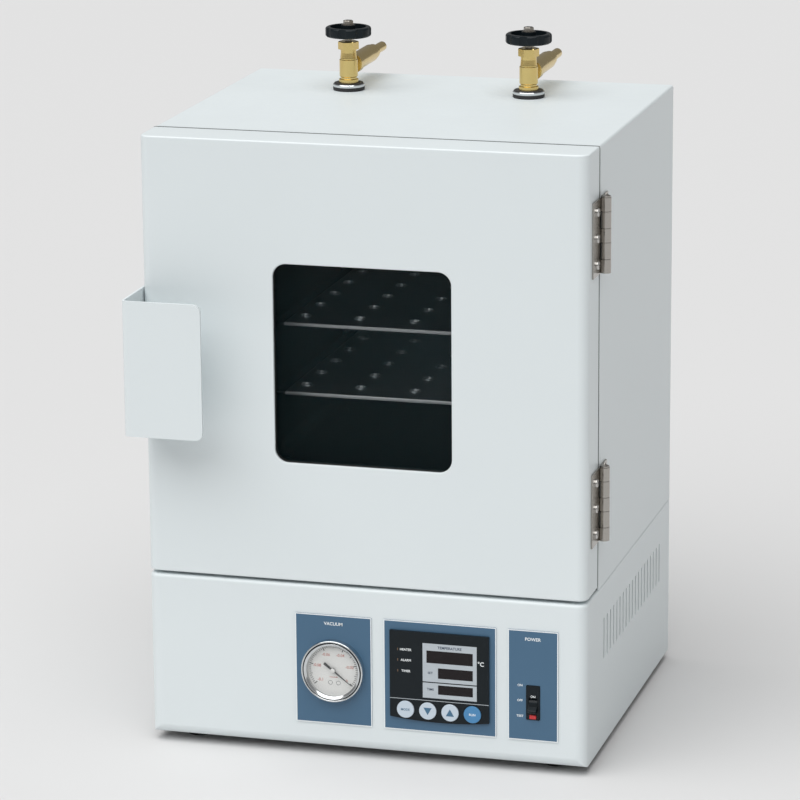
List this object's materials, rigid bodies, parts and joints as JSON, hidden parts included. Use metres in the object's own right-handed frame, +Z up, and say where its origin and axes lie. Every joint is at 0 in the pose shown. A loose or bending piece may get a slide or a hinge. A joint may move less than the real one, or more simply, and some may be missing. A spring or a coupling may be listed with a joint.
{
  "type": "vacuum oven",
  "caption": "Bench vacuum drying oven with a windowed swing door, valves on top, and a control base with a dial gauge, a temperature controller and a breaker.",
  "frame": {"origin": "on the bench, under the centre of the body's footprint", "axes": "+Z up, the door and the controls face -Y, +X to the right as seen from the front"},
  "size_m": [0.4141, 0.42, 0.618],
  "materials": {
    "enamel": "satin",
    "inner_steel": "satin",
    "chamber_steel": "brushed",
    "bright_steel": "polished",
    "brass": "satin",
    "black_rubber": "matte",
    "silicone": "matte",
    "heater_pad": "matte",
    "glass_wool": "matte",
    "clear_glass": "clear",
    "clear_resin": "clear",
    "blue_paint": "satin",
    "dial_white": "matte",
    "pointer_black": "matte",
    "black_plastic": "satin",
    "display_tint": "gloss",
    "key_white": "satin",
    "key_blue": "satin",
    "button_red": "gloss",
    "alloy": "satin"
  },
  "bodies": {
    "cabinet": {"outer_case": "enamel", "front_frame": "enamel", "cabinet_back_cover": "enamel", "cabinet_floor_panel": "inner_steel", "base_case": "enamel", "base_back_cover": "enamel", "base_floor_plate": "inner_steel", "rubber_feet": "black_rubber", "case_screws": "bright_steel", "vacuum_chamber": "chamber_steel", "chamber_gasket": "silicone", "chamber_heaters": "heater_pad", "insulation_blanket": "glass_wool", "chamber_stays": "inner_steel", "temperature_sensor": "bright_steel", "shelf_racks": "chamber_steel", "lower_shelf": "bright_steel", "upper_shelf": "bright_steel", "hinge_leaves_case": "bright_steel", "hinge_pins": "bright_steel", "port_pipes": "chamber_steel", "port_grommets": "black_rubber", "port_collars": "bright_steel", "valve_bodies": "brass", "bonnet_nuts": "brass", "hose_nozzles": "brass", "gauge_case": "pointer_black", "gauge_bezel": "bright_steel", "gauge_dial": "dial_white", "gauge_lens": "clear_glass", "gauge_tube": "chamber_steel", "gauge_panel": "blue_paint", "controller_panel": "blue_paint", "switch_panel": "blue_paint", "controller_face": "black_plastic", "controller_case": "black_plastic", "display_windows": "display_tint", "breaker_body": "black_plastic", "relay_heatsink": "alloy", "heater_relay": "black_plastic", "power_inlet": "black_plastic"},
    "door": {"door_skin": "enamel", "door_inner_panel": "inner_steel", "window_cover": "clear_resin", "window_glass": "clear_glass", "glass_retainer": "inner_steel", "door_handle": "enamel", "door_screws": "bright_steel", "hinge_leaves_door": "bright_steel"},
    "exhaust_spindle_body": {"exhaust_spindle": "bright_steel"},
    "vent_spindle_body": {"vent_spindle": "bright_steel"},
    "exhaust_wheel_body": {"exhaust_handwheel": "black_plastic"},
    "vent_wheel_body": {"vent_handwheel": "black_plastic"},
    "pointer_body": {"gauge_pointer": "pointer_black"},
    "mode_key_body": {"mode_key": "key_white"},
    "down_key_body": {"down_key": "key_white"},
    "up_key_body": {"up_key": "key_white"},
    "run_key_body": {"run_key": "key_blue"},
    "lever_body": {"breaker_lever": "black_plastic"},
    "test_button_body": {"test_button": "button_red"}
  },
  "joints": [
    {"name": "door_swing", "type": "hinge", "parent": "cabinet", "child": "door", "pos_m": [0.2052, -0.13, 0.3575], "axis": [0, 0, 1], "range_deg": [0, 150]},
    {"name": "exhaust_spindle_lift", "type": "slide", "parent": "cabinet", "child": "exhaust_spindle_body", "axis": [0, 0, 1], "range_m": [0, 0.003]},
    {"name": "exhaust_wheel_turn", "type": "hinge", "parent": "exhaust_spindle_body", "child": "exhaust_wheel_body", "pos_m": [-0.085, 0.083, 0.6], "axis": [0, 0, 1], "range_deg": [0, 1080]},
    {"name": "vent_spindle_lift", "type": "slide", "parent": "cabinet", "child": "vent_spindle_body", "axis": [0, 0, 1], "range_m": [0, 0.003]},
    {"name": "vent_wheel_turn", "type": "hinge", "parent": "vent_spindle_body", "child": "vent_wheel_body", "pos_m": [0.085, 0.083, 0.6], "axis": [0, 0, 1], "range_deg": [0, 1080]},
    {"name": "gauge_pointer_turn", "type": "hinge", "parent": "cabinet", "child": "pointer_body", "pos_m": [-0.0286, -0.1775, 0.0817], "axis": [0, -1, 0], "range_deg": [0, 256], "stiffness_Nm_per_rad": 0.001},
    {"name": "mode_key_press", "type": "slide", "parent": "cabinet", "child": "mode_key_body", "axis": [0, 1, 0], "range_m": [0, 0.0008], "stiffness_N_per_m": 300},
    {"name": "down_key_press", "type": "slide", "parent": "cabinet", "child": "down_key_body", "axis": [0, 1, 0], "range_m": [0, 0.0008], "stiffness_N_per_m": 300},
    {"name": "up_key_press", "type": "slide", "parent": "cabinet", "child": "up_key_body", "axis": [0, 1, 0], "range_m": [0, 0.0008], "stiffness_N_per_m": 300},
    {"name": "run_key_press", "type": "slide", "parent": "cabinet", "child": "run_key_body", "axis": [0, 1, 0], "range_m": [0, 0.0008], "stiffness_N_per_m": 300},
    {"name": "breaker_lever_throw", "type": "hinge", "parent": "cabinet", "child": "lever_body", "pos_m": [0.1528, -0.171, 0.064], "axis": [-1, 0, 0], "range_deg": [0, 60]},
    {"name": "test_button_press", "type": "slide", "parent": "cabinet", "child": "test_button_body", "axis": [0, 1, 0], "range_m": [0, 0.001], "stiffness_N_per_m": 300}
  ],
  "couplings": [
    {"joint": "exhaust_spindle_lift", "follows": "exhaust_wheel_turn", "m_per_rad": 0.00015915},
    {"joint": "vent_spindle_lift", "follows": "vent_wheel_turn", "m_per_rad": 0.00015915}
  ]
}
